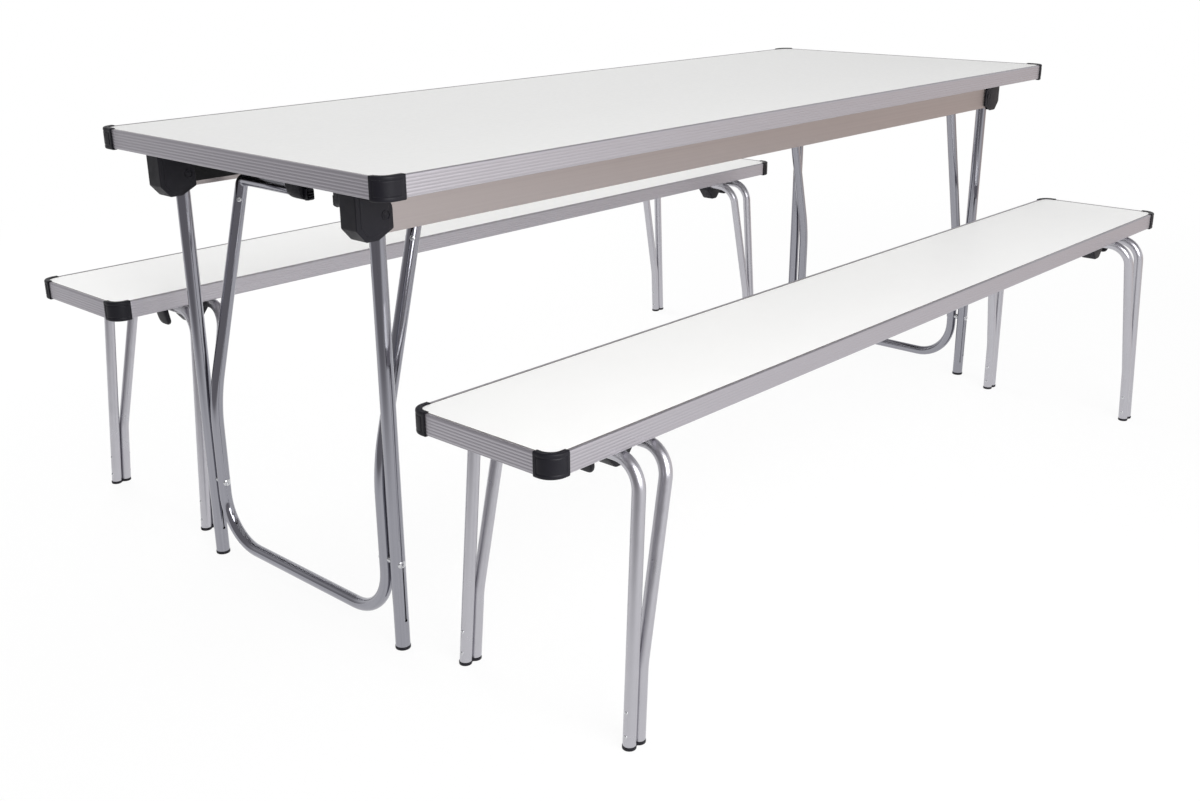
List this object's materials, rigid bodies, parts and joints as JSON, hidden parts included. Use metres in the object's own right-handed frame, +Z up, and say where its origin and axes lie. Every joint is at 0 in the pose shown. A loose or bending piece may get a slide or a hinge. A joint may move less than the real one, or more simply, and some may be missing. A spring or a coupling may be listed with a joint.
{
  "type": "folding dining table with benches",
  "caption": "Long folding dining table with a laminate top, tubular folding legs and braces, and a pair of matching free-standing benches with folding end frames.",
  "frame": {"origin": "on the floor under the centre of the table", "axes": "+X along the table towards its right end, +Y across towards the far bench, +Z up"},
  "size_m": [1.83, 1.321, 0.7135],
  "materials": {
    "laminate_board": "white laminate, satin",
    "anodised_aluminium": "satin anodised",
    "chromed_tube": "bright chrome plate",
    "satin_tube": "satin plate",
    "black_plastic": "fine moulded grain"
  },
  "bodies": {
    "table_top": {"table_board": "laminate_board", "table_edging": "anodised_aluminium", "table_cap_near_left": "black_plastic", "table_cap_near_right": "black_plastic", "table_cap_far_right": "black_plastic", "table_cap_far_left": "black_plastic", "rail_near": "anodised_aluminium", "rail_far": "anodised_aluminium", "housing_near_left": "black_plastic", "housing_near_right": "black_plastic", "housing_far_right": "black_plastic", "housing_far_left": "black_plastic", "pivot_bracket_left": "black_plastic", "pivot_bracket_right": "black_plastic"},
    "left_legs": {"leg_near_left": "chromed_tube", "leg_far_left": "chromed_tube", "foot_near_left": "black_plastic", "foot_far_left": "black_plastic"},
    "right_legs": {"leg_near_right": "chromed_tube", "leg_far_right": "chromed_tube", "foot_near_right": "black_plastic", "foot_far_right": "black_plastic"},
    "left_brace": {"brace_left": "chromed_tube"},
    "right_brace": {"brace_right": "chromed_tube"},
    "near_left_tab": {"release_tab_near_left": "black_plastic"},
    "far_left_tab": {"release_tab_far_left": "black_plastic"},
    "near_right_tab": {"release_tab_near_right": "black_plastic"},
    "far_right_tab": {"release_tab_far_right": "black_plastic"},
    "near_bench": {"near_bench_seat": "laminate_board", "near_bench_edging": "anodised_aluminium", "near_bench_cap_near_left": "black_plastic", "near_bench_cap_near_right": "black_plastic", "near_bench_cap_far_right": "black_plastic", "near_bench_cap_far_left": "black_plastic", "near_bench_saddle_left": "black_plastic", "near_bench_saddle_right": "black_plastic"},
    "near_bench_left_frame": {"near_bench_outboard_hoop_left": "satin_tube", "near_bench_inboard_hoop_left": "satin_tube", "near_bench_foot_near_left": "black_plastic", "near_bench_foot_far_left": "black_plastic"},
    "near_bench_right_frame": {"near_bench_outboard_hoop_right": "satin_tube", "near_bench_inboard_hoop_right": "satin_tube", "near_bench_foot_near_right": "black_plastic", "near_bench_foot_far_right": "black_plastic"},
    "far_bench": {"far_bench_seat": "laminate_board", "far_bench_edging": "anodised_aluminium", "far_bench_cap_near_left": "black_plastic", "far_bench_cap_near_right": "black_plastic", "far_bench_cap_far_right": "black_plastic", "far_bench_cap_far_left": "black_plastic", "far_bench_saddle_left": "black_plastic", "far_bench_saddle_right": "black_plastic"},
    "far_bench_left_frame": {"far_bench_outboard_hoop_left": "satin_tube", "far_bench_inboard_hoop_left": "satin_tube", "far_bench_foot_near_left": "black_plastic", "far_bench_foot_far_left": "black_plastic"},
    "far_bench_right_frame": {"far_bench_outboard_hoop_right": "satin_tube", "far_bench_inboard_hoop_right": "satin_tube", "far_bench_foot_near_right": "black_plastic", "far_bench_foot_far_right": "black_plastic"}
  },
  "joints": [
    {"name": "left_leg_fold", "type": "hinge", "parent": "table_top", "child": "left_legs", "pos_m": [-0.84, 0, 0.645], "axis": [0, -1, 0], "range_deg": [0, 90]},
    {"name": "left_brace_fold", "type": "hinge", "parent": "table_top", "child": "left_brace", "pos_m": [-0.753, 0, 0.627], "axis": [0, -1, 0], "range_deg": [0, 103]},
    {"name": "right_leg_fold", "type": "hinge", "parent": "table_top", "child": "right_legs", "pos_m": [0.84, 0, 0.645], "axis": [0, 1, 0], "range_deg": [0, 90]},
    {"name": "right_brace_fold", "type": "hinge", "parent": "table_top", "child": "right_brace", "pos_m": [0.753, 0, 0.627], "axis": [0, 1, 0], "range_deg": [0, 103]},
    {"name": "near_left_tab_slide", "type": "slide", "parent": "table_top", "child": "near_left_tab", "axis": [0, 0, -1], "range_m": [0, 0.008], "stiffness_N_per_m": 400, "springref_m": -0.004},
    {"name": "far_left_tab_slide", "type": "slide", "parent": "table_top", "child": "far_left_tab", "axis": [0, 0, -1], "range_m": [0, 0.008], "stiffness_N_per_m": 400, "springref_m": -0.004},
    {"name": "near_right_tab_slide", "type": "slide", "parent": "table_top", "child": "near_right_tab", "axis": [0, 0, -1], "range_m": [0, 0.008], "stiffness_N_per_m": 400, "springref_m": -0.004},
    {"name": "far_right_tab_slide", "type": "slide", "parent": "table_top", "child": "far_right_tab", "axis": [0, 0, -1], "range_m": [0, 0.008], "stiffness_N_per_m": 400, "springref_m": -0.004},
    {"name": "near_bench_slide", "type": "slide", "parent": "table_top", "child": "near_bench", "axis": [0, -1, 0], "range_m": [-0.07, 0.3]},
    {"name": "far_bench_slide", "type": "slide", "parent": "table_top", "child": "far_bench", "axis": [0, 1, 0], "range_m": [-0.07, 0.3]},
    {"name": "near_bench_left_fold", "type": "hinge", "parent": "near_bench", "child": "near_bench_left_frame", "pos_m": [-0.726, -0.495, 0.3865], "axis": [0, -1, 0], "range_deg": [0, 100]},
    {"name": "near_bench_right_fold", "type": "hinge", "parent": "near_bench", "child": "near_bench_right_frame", "pos_m": [0.726, -0.495, 0.3865], "axis": [0, 1, 0], "range_deg": [0, 100]},
    {"name": "far_bench_left_fold", "type": "hinge", "parent": "far_bench", "child": "far_bench_left_frame", "pos_m": [-0.726, 0.495, 0.3865], "axis": [0, -1, 0], "range_deg": [0, 100]},
    {"name": "far_bench_right_fold", "type": "hinge", "parent": "far_bench", "child": "far_bench_right_frame", "pos_m": [0.726, 0.495, 0.3865], "axis": [0, 1, 0], "range_deg": [0, 100]}
  ],
  "couplings": [
    {"joint": "left_brace_fold", "follows": "left_leg_fold", "ratio": 1.135},
    {"joint": "right_brace_fold", "follows": "right_leg_fold", "ratio": 1.135}
  ]
}
